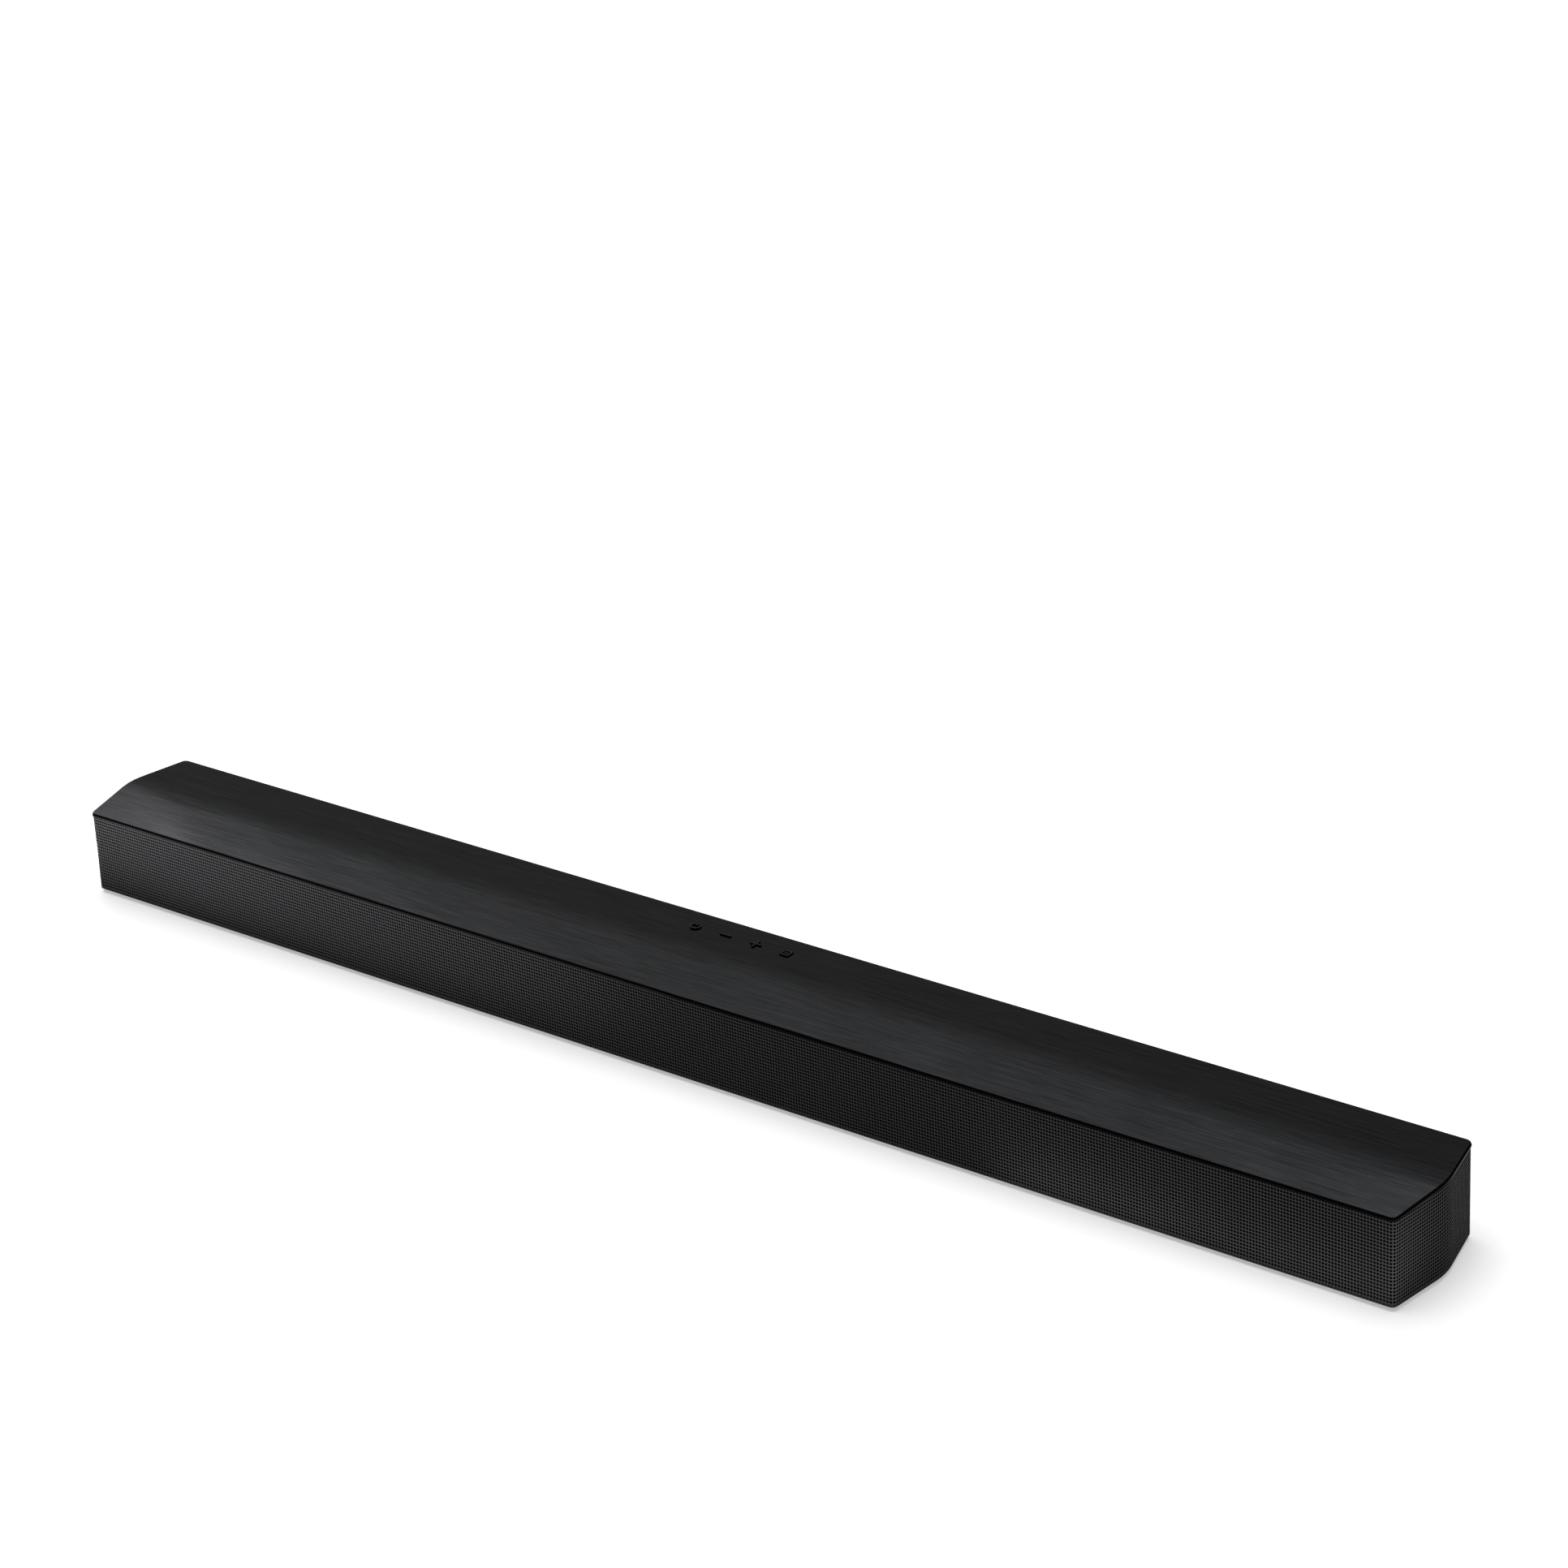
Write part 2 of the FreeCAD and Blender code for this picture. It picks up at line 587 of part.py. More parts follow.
def tweeter_magnets():
    profile = [
        (10.2, 6.0), (14.0, 6.0), (14.0, 14.0), (0, 14.0), (0, 6.4), (8.6, 6.4), (8.6, 12.0), (10.2, 12.0),
    ]
    return Part.makeCompound([turned(profile, x, BAFFLE_BACK) for x in TWEETER_X])


def tweeter_dome(x):
    """Silk dome and its coil."""
    steps = 8
    outer = []
    inner = []
    for i in range(steps + 1):
        angle = math.pi / 2 * i / steps
        outer.append((DOME_R * math.sin(angle), 4.6 - 4.2 * math.cos(angle)))
        inner.append(((DOME_R - 0.35) * math.sin(angle), 4.6 - 3.85 * math.cos(angle)))
    coil = [(DOME_R, 9.0), (DOME_R - 0.35, 9.0)]
    return turned(outer + coil + inner[::-1], x, BAFFLE_BACK)


def tweeter_suspensions():
    profile = [
        (DOME_R + 0.05, 4.4), (10.2, 4.0), (10.85, 4.4), (10.85, 4.8), (10.2, 4.4), (DOME_R + 0.05, 4.8),
    ]
    return Part.makeCompound([turned(profile, x, BAFFLE_BACK) for x in TWEETER_X])


def driver_screws():
    """Four screws for each woofer and two for each tweeter, driven from behind."""
    screws = []
    for x in WOOFER_X:
        for angle in (0, 90, 180, 270):
            screws.append(driver_screw(x, WOOFER_FLANGE_R - 1.2, angle + 45))
    for x in TWEETER_X:
        for angle in (0, 180):
            screws.append(driver_screw(x, TWEETER_FLANGE_R - 1.3, angle))
    return Part.makeCompound(screws)


def driver_screw(x, radius, angle):
    turn = math.radians(angle)
    place = (x + radius * math.cos(turn), BAFFLE_BACK + FLANGE_THICKNESS, DRIVER_Z + radius * math.sin(turn))
    return rod(1.0, 1.2, place, (0, 1, 0))


# --- electronics ---------------------------------------------------------------------------------

def board_screw_places():
    places = []
    for x_range, y_range in (
        (MAIN_BOARD_X, MAIN_BOARD_Y),
        (POWER_BOARD_X, POWER_BOARD_Y),
        (AMPLIFIER_BOARD_X, AMPLIFIER_BOARD_Y),
    ):
        for x in (x_range[0] + BOARD_SCREW_INSET, x_range[1] - BOARD_SCREW_INSET):
            for y in (y_range[0] + BOARD_SCREW_INSET, y_range[1] - BOARD_SCREW_INSET):
                places.append((x, y))
    return places


def board_height(x):
    return MAIN_BOARD_Z if MAIN_BOARD_X[0] < x < MAIN_BOARD_X[1] else SIDE_BOARD_Z


def board(x_range, y_range, z):
    plate = block(x_range, y_range, (z, z + BOARD))
    holes = []
    for x, y in board_screw_places():
        if x_range[0] < x < x_range[1]:
            holes.append(rod(1.2, 5, (x, y, z - 1), (0, 0, 1)))
    return plate.cut(holes)


def board_screws():
    screws = []
    for x, y in board_screw_places():
        top = board_height(x) + BOARD
        head = rod(2.2, 1.4, (x, y, top), (0, 0, 1))
        shank = rod(0.9, 6.5, (x, y, top - 6.4), (0, 0, 1))
        screws.append(fuse([head, shank]))
    return Part.makeCompound(screws)


def chips(places, z):
    """Flat packages, each given as middle x, middle y, width, depth and height."""
    return Part.makeCompound(
        [block((x - w / 2, x + w / 2), (y - d / 2, y + d / 2), (z, z + h)) for x, y, w, d, h in places]
    )


def finned_block(x, y, z, base, fins):
    """A heat sink: a base plate with upright fins along Y."""
    parts = [block(x, y, (z, z + base))]
    width = x[1] - x[0]
    for i in range(fins):
        left = x[0] + (width - 1.2) * i / (fins - 1)
        parts.append(block((left, left + 1.2), y, (z + base - 0.1, z + base + 14)))
    return fuse(parts)


def key_board():
    top = SWITCH_TOP - SWITCH_HEIGHT
    return block(KEY_BOARD_X, KEY_BOARD_Y, (top - BOARD, top))


def tact_switches():
    """Square switches with a round well that the stem of the key works in."""
    half = SWITCH_SIDE / 2
    switches = []
    for x in KEY_X:
        height = (SWITCH_TOP - SWITCH_HEIGHT, SWITCH_TOP)
        body = block((x - half, x + half), (KEY_Y - half, KEY_Y + half), height)
        switches.append(body.cut(rod(KEY_STEM_R + 0.3, 2, (x, KEY_Y, SWITCH_TOP - 0.9), (0, 0, 1))))
    return Part.makeCompound(switches)


def ribbon():
    """Flat cable from the key board to the main board."""
    low = MAIN_BOARD_Z + BOARD
    high = SWITCH_TOP - SWITCH_HEIGHT - BOARD
    upright = block((56, 68), RIBBON_Y, (low, high))
    across = block((51, 68), RIBBON_Y, (high - 4, high))
    return fuse([upright, across])


def connector_bay(x_range, cut_outs):
    """An open box let into the rear panel, with its inner wall cut for the sockets."""
    x = (x_range[0] + 0.1, x_range[1] - 0.1)
    z = (BAY_Z[0] + 0.1, BAY_Z[1] - 0.1)
    outer = block(x, (SOCKET_Y, REAR_FACE), z)
    inner = block(
        (x[0] + BAY_WALL, x[1] - BAY_WALL),
        (SOCKET_Y + BAY_WALL, REAR_FACE + 1),
        (z[0] + BAY_WALL, z[1] - BAY_WALL),
    )
    return outer.cut(inner).cut(cut_outs)


def hdmi_cut(x, grow):
    """The outline of the plug: flat above, with two slanted lower corners."""
    half = HDMI_HALF_WIDTH + grow
    low = SIGNAL_SOCKETS_Z + 0.9 - grow
    high = SIGNAL_SOCKETS_Z + 5.4 + grow
    points = [(-half, high), (half, high), (half, low + 1.8), (half - 1.6, low), (-half + 1.6, low),
              (-half, low + 1.8)]
    wire = Part.makePolygon([vec(x + px, 0, pz) for px, pz in points + points[:1]])
    return Part.Face(wire)


def hdmi_sockets():
    """Folded metal shells with an insulated tongue inside."""
    sockets = []
    for x in HDMI_X:
        outer = hdmi_cut(x, HDMI_SHELL).extrude(vec(0, 12, 0))
        outer.translate(vec(0, SOCKET_Y - 10.5, 0))
        inner = hdmi_cut(x, 0.0).extrude(vec(0, 12, 0))
        inner.translate(vec(0, SOCKET_Y - 9.5, 0))
        tongue_z = SIGNAL_SOCKETS_Z + 3.4
        tongue = block((x - 5.6, x + 5.6), (SOCKET_Y - 9.6, SOCKET_Y - 1.0), (tongue_z, tongue_z + 0.8))
        sockets.append(fuse([outer.cut(inner), tongue]))
    return Part.makeCompound(sockets)


def usb_socket():
    z = SIGNAL_SOCKETS_Z
    outer = block((USB_X - 6.9, USB_X + 6.9), (SOCKET_Y - 12, SOCKET_Y + 1.4), (z, z + 6.4))
    inner = block((USB_X - 6.3, USB_X + 6.3), (SOCKET_Y - 11.4, SOCKET_Y + 2), (z + 0.6, z + 5.8))
    tongue = block((USB_X - 5.6, USB_X + 5.6), (SOCKET_Y - 11.6, SOCKET_Y), (z + 3.6, z + 5.0))
    return fuse([outer.cut(inner), tongue])


def optical_socket():
    """A square body with a square well, and a spring flap that stands half closed."""
    z = SIGNAL_SOCKETS_Z
    outer = block((OPTICAL_X - 5, OPTICAL_X + 5), (SOCKET_Y - 12, SOCKET_Y + 1.4), (z, z + 10))
    inner = block((OPTICAL_X - 3.2, OPTICAL_X + 3.2), (SOCKET_Y - 6, SOCKET_Y + 2), (z + 1.8, z + 8.2))
    lens = rod(1.2, 2.5, (OPTICAL_X, SOCKET_Y - 6.2, z + 5), (0, 1, 0))
    return fuse([outer.cut(inner), lens])


def signal_bay():
    z = SIGNAL_SOCKETS_Z
    cuts = []
    for x in HDMI_X:
        cut = hdmi_cut(x, 0.5).extrude(vec(0, 6, 0))
        cut.translate(vec(0, SOCKET_Y - 2, 0))
        cuts.append(cut)
    y = (SOCKET_Y - 1, SOCKET_Y + 3)
    cuts.append(block((USB_X - 7.1, USB_X + 7.1), y, (z - 0.2, z + 6.6)))
    cuts.append(block((OPTICAL_X - 5.2, OPTICAL_X + 5.2), y, (z - 0.2, z + 10.2)))
    return connector_bay(SIGNAL_BAY_X, cuts)


def power_bay():
    x, z = INLET_CENTRE
    cut = block((x - 10.2, x + 10.2), (SOCKET_Y - 1, SOCKET_Y + 3), (z - 6.2, z + 6.2))
    return connector_bay(POWER_BAY_X, [cut])


def figure_eight(radius, low, high):
    """Two round wells side by side with a bridge between them."""
    x, z = INLET_CENTRE
    parts = [rod(radius, high - low, (x + side * INLET_PIN_X, low, z), (0, 1, 0)) for side in (-1, 1)]
    bridge = radius * 0.75
    parts.append(block((x - INLET_PIN_X, x + INLET_PIN_X), (low, high), (z - bridge, z + bridge)))
    return fuse(parts)


def power_inlet():
    """The two-pole mains inlet, without its pins."""
    x, z = INLET_CENTRE
    outer = block((x - 10, x + 10), (SOCKET_Y - 14, SOCKET_Y + 1.5), (z - 6, z + 6))
    return outer.cut(figure_eight(INLET_WELL_R, SOCKET_Y - 11, SOCKET_Y + 2))


def inlet_pins():
    """The two round pins in the wells of the inlet."""
    x, z = INLET_CENTRE
    pins = [rod(INLET_PIN_R, 9, (x + side * INLET_PIN_X, SOCKET_Y - 11, z), (0, 1, 0)) for side in (-1, 1)]
    return Part.makeCompound(pins)


def display_module():
    """Display block in its opening in the baffle, with a board behind."""
    x = (DISPLAY_X[0] + 0.3, DISPLAY_X[1] - 0.3)
    z = (DISPLAY_Z[0] + 0.3, DISPLAY_Z[1] - 0.3)
    front = block(x, (BAFFLE_FRONT + 0.2, BAFFLE_BACK + 1), z)
    back = block((x[0] - 1, x[1] + 1), (BAFFLE_BACK + 0.9, BAFFLE_BACK + 2.5), (z[0] - 3, z[1] + 3))
    return fuse([front, back])


def remote_receiver():
    """Small lens on a block behind the baffle."""
    x = RECEIVER_X
    lens = rod(RECEIVER_R, 4, (x, BAFFLE_FRONT + 0.4, DRIVER_Z), (0, 1, 0))
    back = block((x - 3.5, x + 3.5), (BAFFLE_BACK, BAFFLE_BACK + 3), (DRIVER_Z - 4, DRIVER_Z + 4))
    return fuse([lens, back])


def harness():
    """The wire bundle that runs along the floor from end to end."""
    return rod(HARNESS_R, 2 * HARNESS_HALF_LENGTH, (-HARNESS_HALF_LENGTH, HARNESS_Y, HARNESS_Z), (1, 0, 0))


def harness_clips():
    """Saddles that hold the wire bundle to the floor."""
    clips = []
    for x in CLIP_X:
        saddle = block((x - 3, x + 3), (HARNESS_Y - 3.2, HARNESS_Y + 3.2), (FLOOR_TOP, FLOOR_TOP + 5.2))
        clips.append(saddle.cut(rod(HARNESS_R + 0.05, 10, (x - 5, HARNESS_Y, HARNESS_Z), (1, 0, 0))))
    return Part.makeCompound(clips)


def power_capacitors():
    """Two storage capacitors that stand on the power board."""
    top = SIDE_BOARD_Z + BOARD
    cans = []
    for x, y in CAPACITOR_PLACES:
        can = rod(CAPACITOR_R, 24, (x, y, top), (0, 0, 1))
        rim = [edge for edge in can.Edges if edge.BoundBox.ZMin > top + 1]
        cans.append(can.makeFillet(0.8, rim))
    return Part.makeCompound(cans)


def transformer():
    """Ferrite frame round a wound bobbin."""
    top = SIDE_BOARD_Z + BOARD
    core = block((-155, -127), (-7, 13), (top + 3, top + 23))
    window = block((-149, -133), (-8, 14), (top + 8, top + 18))
    winding = block((-148.8, -133.2), (-5, 11), (top + 8.2, top + 17.8))
    feet_block = block((-153, -129), (-5, 11), (top, top + 3))
    return fuse([core.cut(window), feet_block]), winding


def housing_screws():
    screws = []
    for x, y in housing_screw_places():
        head = rod(SCREW_HEAD_R, 2.0, (x, y, FLOOR_BOTTOM + 0.6), (0, 0, 1))
        cross = block((x - 2, x + 2), (y - 0.4, y + 0.4), (FLOOR_BOTTOM, FLOOR_BOTTOM + 1.6))
        cross = cross.fuse(block((x - 0.4, x + 0.4), (y - 2, y + 2), (FLOOR_BOTTOM, FLOOR_BOTTOM + 1.6)))
        shank = rod(SCREW_R - 0.1, 22, (x, y, FLOOR_BOTTOM + 2.5), (0, 0, 1))
        screws.append(fuse([head.cut(cross), shank]))
    return Part.makeCompound(screws)


def bracket_inserts():
    """Threaded brass inserts in the floor, for a wall bracket."""
    inserts = []
    for x, y in bracket_places():
        outer = rod(INSERT_R, INSERT_LENGTH, (x, y, FLOOR_BOTTOM), (0, 0, 1))
        bore = rod(INSERT_BORE_R, INSERT_LENGTH + 2, (x, y, FLOOR_BOTTOM - 1), (0, 0, 1))
        inserts.append(outer.cut(bore))
    return Part.makeCompound(inserts)


def all_parts():
    """Every node of the bar with its shape."""
    side_top = SIDE_BOARD_Z + BOARD
    main_top = MAIN_BOARD_Z + BOARD
    core, winding = transformer()
    parts = {
        "top_panel": top_panel(),
        "top_rim": top_rim(),
        "upper_housing": lid(),
        "lower_housing": housing(),
        "rear_panel": rear_panel(),
        "front_grille": grille(),
        "grille_scrim": scrim(),
        "front_baffle": baffle_plate(),
        "baffle_seal": baffle_seal(),
        "signal_bay": signal_bay(),
        "power_bay": power_bay(),
        "hdmi_sockets": hdmi_sockets(),
        "usb_socket": usb_socket(),
        "optical_socket": optical_socket(),
        "power_inlet": power_inlet(),
        "power_inlet_pins": inlet_pins(),
        "woofer_frames": woofer_frames(),
        "woofer_magnets": woofer_magnets(),
        "tweeter_frames": tweeter_frames(),
        "tweeter_magnets": tweeter_magnets(),
        "tweeter_suspensions": tweeter_suspensions(),
        "driver_screws": driver_screws(),
        "main_board": board(MAIN_BOARD_X, MAIN_BOARD_Y, MAIN_BOARD_Z),
        "main_board_chips": chips(
            [(-20, 6, 20, 20, 1.8), (14, 4, 14, 10, 1.2), (36, 6, 9, 9, 1.0)], main_top
        ),
        "wireless_module": chips([(-58, 4, 18, 22, 2.6)], main_top),
        "power_supply_board": board(POWER_BOARD_X, POWER_BOARD_Y, SIDE_BOARD_Z),
        "power_capacitors": power_capacitors(),
        "transformer_core": core,
        "transformer_winding": winding,
        "power_heatsink": finned_block((-198, -176), (0, 22), side_top, 3, 5),
        "amplifier_board": board(AMPLIFIER_BOARD_X, AMPLIFIER_BOARD_Y, SIDE_BOARD_Z),
        "amplifier_chips": chips([(130, 8, 14, 14, 1.4), (166, 8, 14, 14, 1.4)], side_top),
        "amplifier_heatsink": finned_block((118, 178), (-2, 18), side_top + 1.4, 3, 11),
        "output_coils": chips([(107 + 11 * i, 25, 8, 8, 7) for i in range(8)], side_top),
        "key_board": key_board(),
        "tact_switches": tact_switches(),
        "key_board_ribbon": ribbon(),
        "display_module": display_module(),
        "remote_receiver": remote_receiver(),
        "wire_harness": harness(),
        "harness_clips": harness_clips(),
        "board_screws": board_screws(),
        "housing_screws": housing_screws(),
        "bracket_inserts": bracket_inserts(),
        "rubber_feet": feet(),
    }
    for index, name in enumerate(KEY_NAMES):
        parts[name] = key(index)
    for x, name in zip(WOOFER_X, WOOFER_NAMES):
        parts["woofer_cone_" + name] = woofer_cone(x)
    parts["woofer_suspensions"] = Part.makeCompound([woofer_suspension(x) for x in WOOFER_X])
    for x, name in zip(TWEETER_X, TWEETER_NAMES):
        parts["tweeter_dome_" + name] = tweeter_dome(x)
    return parts


os.makedirs("parts", exist_ok=True)
for name, shape in all_parts().items():
    state = "valid" if shape.isValid() else "INVALID"
    print(name, state, len(shape.Solids), "solids", round(shape.Volume, 1))
    shape.exportStep("parts/" + name + ".step")
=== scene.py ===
import json
import math

import bmesh
import bpy
import numpy as np
from mathutils import Matrix, Vector


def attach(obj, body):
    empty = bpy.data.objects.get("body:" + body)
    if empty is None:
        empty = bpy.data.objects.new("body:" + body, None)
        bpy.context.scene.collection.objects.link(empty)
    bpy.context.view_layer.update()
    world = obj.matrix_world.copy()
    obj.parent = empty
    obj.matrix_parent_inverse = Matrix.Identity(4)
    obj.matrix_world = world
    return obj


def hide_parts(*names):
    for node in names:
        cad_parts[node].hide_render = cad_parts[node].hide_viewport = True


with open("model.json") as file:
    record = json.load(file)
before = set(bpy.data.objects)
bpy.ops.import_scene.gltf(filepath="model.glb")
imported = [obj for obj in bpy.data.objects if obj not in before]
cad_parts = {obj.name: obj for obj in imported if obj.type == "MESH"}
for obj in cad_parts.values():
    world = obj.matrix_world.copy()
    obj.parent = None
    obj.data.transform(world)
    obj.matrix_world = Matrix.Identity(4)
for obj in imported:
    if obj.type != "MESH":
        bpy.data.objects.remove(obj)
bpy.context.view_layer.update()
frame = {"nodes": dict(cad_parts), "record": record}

nodes = frame["nodes"]

# Outline of the bar seen from above, as in the CAD model, in metres
APEX_X = 0.530             # where the two halves of an end would meet
FACE_X = 0.521             # end of the front face and of the rear face
HALF_DEPTH = 0.049
APEX_RADIUS = 0.055
CORNER_RADIUS = 0.0045
FOOT = 0.002
FRONT_HEIGHT = 0.0602      # top edge above the case, at the front
RIDGE_HEIGHT = 0.0636      # where the two slopes of the top would meet
REAR_HEIGHT = 0.0624       # top edge at the rear
RIDGE_RADIUS = 0.200
GRILLE_INSET = 0.00055
SHEET = 0.0005             # thickness of the perforated sheet
GRILLE_DROP = 0.0020       # upper edge of the grille under the crown, behind the lip of the bead
LIP_DROP = 0.00245
GRILLE_END_X = 0.509       # where the grille ends on the rear face
SCRIM_INSET = 0.0016
SCRIM_DROP = 0.0026
SCRIM_BOTTOM = 0.0049
SCRIM_END_Y = 0.0438
SCRIM_THICKNESS = 0.0002
SCRIM_COLUMNS = 420
SCRIM_ROWS = 14

# Perforation
PITCH_X = 0.00209
PITCH_Z = 0.00231
HOLE_R = 0.00084
TOP_ROW_BELOW_LIP = 0.0003
RING = 12                  # corners of a hole
ROWS_ABOVE_LIP = 2         # spare rows, cut off along the upper edge where the top rises
FRONT_PIECES = 5
END_COLUMNS = 4            # columns of the flat front that belong to each end piece
HAIR = 1.0e-6              # lengths below this count as nothing
JOIN_WITHIN = 2.0e-6
SHARP_ANGLE = 40

# Upward parts of the face normals between which a face gets painted shade, black with no reflection: the top of
# the bead, the panel's edge
PAINTED_SHADE_FACES = {"gloss_rim": (0.35, 2.0), "brushed_panel": (-2.0, 0.985)}

# Camera
VIEW_AZIMUTH = 36.906
VIEW_ELEVATION = 19.835
VIEW_ROLL = -2.902
VIEW_RIGHT = 0.07135
VIEW_UP = 0.44231
VIEW_BACK = 2.61278
VIEW_LENS = 92.763
VIEW_SHIFT_Y = -0.25
SENSOR = 36.0
CLIP_NEAR = 0.05
CLIP_FAR = 60

# Floor and surroundings
FLOOR_RADIUS = 14.0
FLOOR_CORNERS = 96
FLOOR_Z = -0.0002
FLOOR_GLOW = 0.4
BRIGHT_SIDE = (-0.40, 0.25, 1.0)   # direction of the large pale area
WORLD_DIM = 0.17
WORLD_BRIGHT = 1.25
BACKDROP = 1.03
SUN_DIRECTION = (-0.12, -0.05, 1.0)
SUN_WIDTH = 50
SUN_STRENGTH = 2.0

# Strips above and behind the bar, mirrored in the front slope of the top
STRIP_Y = 0.35
LOW_STRIP = (0.430, 0.04, 0.5)     # centre height, height of the strip, radiance
HIGH_STRIP = (0.590, 0.15, 3.4)
LEFT_STRIPS = (                    # centre x, width, share of that radiance
    (-1.06, 0.20, 1.00), (-0.89, 0.14, 0.62), (-0.75, 0.14, 0.36), (-0.61, 0.14, 0.22), (-0.47, 0.14, 0.10),
)
LEFT_AIM = 0.48                    # a strip looks at the bar this far to its right
SIDE_STRIP = (0.460, 0.08)         # centre height, height of the strip
SIDE_STRIPS = (                    # centre x, width, radiance
    (-0.32, 0.15, 0.12), (-0.17, 0.15, 0.16), (-0.02, 0.15, 0.17), (0.12, 0.13, 0.26), (0.26, 0.15, 0.60),
)
SIDE_AIM = 0.30
AIM_Y = -0.045
AIM_Z = 0.064

# Cards that lie on the floor, mirrored in the grille: centre x, centre y, width, depth, radiance
CARDS = (
    (-0.70, -0.22, 0.30, 0.26, 10.0), (-0.47, -0.22, 0.16, 0.26, 6.5), (-0.31, -0.22, 0.16, 0.26, 4.3),
    (-0.15, -0.22, 0.16, 0.26, 3.0), (0.42, -0.070, 0.34, 0.025, 3.2), (0.575, -0.075, 0.05, 0.03, 24.0),
    (-0.585, -0.02, 0.05, 0.06, 50.0),
)
CARD_Z = 0.001


# --- outline -------------------------------------------------------------------------------------

def corner_points(inset, rear_x):
    """Corners of the open outline from the left end of the rear face round the front, with radii."""
    slope = math.atan2(APEX_X - FACE_X, HALF_DEPTH)
    apex = APEX_X - inset / math.cos(slope)
    half = HALF_DEPTH - inset
    face = apex - half * math.tan(slope)
    corner = CORNER_RADIUS - inset
    bend = APEX_RADIUS - inset
    return [
        ((-rear_x, half), 0), ((-face, half), corner), ((-apex, 0), bend), ((-face, -half), corner),
        ((face, -half), corner), ((apex, 0), bend), ((face, half), corner), ((rear_x, half), 0),
    ]


def outline(inset, rear_x=GRILLE_END_X, step=0.00005):
    """Points along the outline with their distance from its start."""
    corners = corner_points(inset, rear_x)
    points = [np.array(corners[0][0])]
    for i in range(1, len(corners) - 1):
        here = np.array(corners[i][0])
        back = np.array(corners[i - 1][0]) - here
        on = np.array(corners[i + 1][0]) - here
        back /= np.linalg.norm(back)
        on /= np.linalg.norm(on)
        half_angle = math.acos(np.clip(np.dot(back, on), -1, 1)) / 2
        radius = corners[i][1]
        inward = (back + on) / np.linalg.norm(back + on)
        centre = here + inward * radius / math.sin(half_angle)
        start = here + back * radius / math.tan(half_angle)
        first = math.atan2(*(start - centre)[::-1])
        turn = math.pi - 2 * half_angle
        count = max(8, int(radius * turn / step))
        for k in range(count + 1):
            angle = first + turn * k / count
            points.append(centre + radius * np.array([math.cos(angle), math.sin(angle)]))
    points.append(np.array(corners[-1][0]))
    points = np.array(points)
    along = np.concatenate([[0], np.cumsum(np.linalg.norm(np.diff(points, axis=0), axis=1))])
    return points, along


def crown_height(y):
    """Height of the top surface above the floor: two slopes with a rounded ridge."""
    y = np.asarray(y, float)
    front = (RIDGE_HEIGHT - FRONT_HEIGHT) / HALF_DEPTH
    rear = (REAR_HEIGHT - RIDGE_HEIGHT) / HALF_DEPTH
    reach = RIDGE_RADIUS * (front - rear) / 2
    slopes = RIDGE_HEIGHT + np.where(y < 0, front, rear) * y
    along = np.clip(y + reach, 0, 2 * reach)
    rounded = RIDGE_HEIGHT - front * reach + front * along - along ** 2 / (2 * RIDGE_RADIUS)
    return FOOT + np.where(np.abs(y) < reach, rounded, slopes)


def new_object(name, vertices, faces, material, smooth=True):
    """A mesh object with one material, linked to the scene."""
    mesh = bpy.data.meshes.new(name)
    mesh.from_pydata(vertices, [], faces)
    mesh.materials.append(material)
    obj = bpy.data.objects.new(name, mesh)
    bpy.context.scene.collection.objects.link(obj)
    if smooth:
        mesh.polygons.foreach_set("use_smooth", [True] * len(mesh.polygons))
    return obj


# --- materials -----------------------------------------------------------------------------------

def material(name, color, roughness, metallic=0.0, **sockets):
    """A Principled material. Returns its node tree and shader too."""
    mat = bpy.data.materials.new(name)
    mat.use_nodes = True
    tree = mat.node_tree
    shader = tree.nodes["Principled BSDF"]
    shader.inputs["Base Color"].default_value = (*color, 1)
    shader.inputs["Roughness"].default_value = roughness
    shader.inputs["Metallic"].default_value = metallic
    for key, value in sockets.items():
        shader.inputs[key.replace("_", " ")].default_value = value
    return mat, tree, shader


def add(tree, kind, **values):
    """A new node, with sockets or properties set by name."""
    node = tree.nodes.new(kind)
    for key, value in values.items():
        if key in node.inputs:
            node.inputs[key].default_value = value
        else:
            setattr(node, key, value)
    return node


def noise(tree, scale, stretch=(1, 1, 1), detail=3.0, roughness=0.5):
    """Noise in object coordinates (metres), stretched along some axes."""
    place = add(tree, "ShaderNodeTexCoord")
    mapping = add(tree, "ShaderNodeMapping")
    mapping.inputs["Scale"].default_value = stretch
    texture = add(tree, "ShaderNodeTexNoise", Scale=scale, Detail=detail, Roughness=roughness)
    tree.links.new(place.outputs["Object"], mapping.inputs["Vector"])
    tree.links.new(mapping.outputs["Vector"], texture.inputs["Vector"])
    return texture.outputs["Fac"]


def spread(tree, value, low, high, to_low, to_high):
    """value carried from the range low-high to the range to_low-to_high."""
    node = add(tree, "ShaderNodeMapRange")
    for key, number in (("From Min", low), ("From Max", high), ("To Min", to_low), ("To Max", to_high)):
        node.inputs[key].default_value = number
    tree.links.new(value, node.inputs["Value"])
    return node.outputs["Result"]


def tint(tree, shader, value, dark, light):
    """Base colour from dark where value is 0 to light where it is 1."""
    mix = add(tree, "ShaderNodeMix", data_type="RGBA")
    mix.inputs[6].default_value = (*dark, 1)
    mix.inputs[7].default_value = (*light, 1)
    tree.links.new(value, mix.inputs[0])
    tree.links.new(mix.outputs[2], shader.inputs["Base Color"])


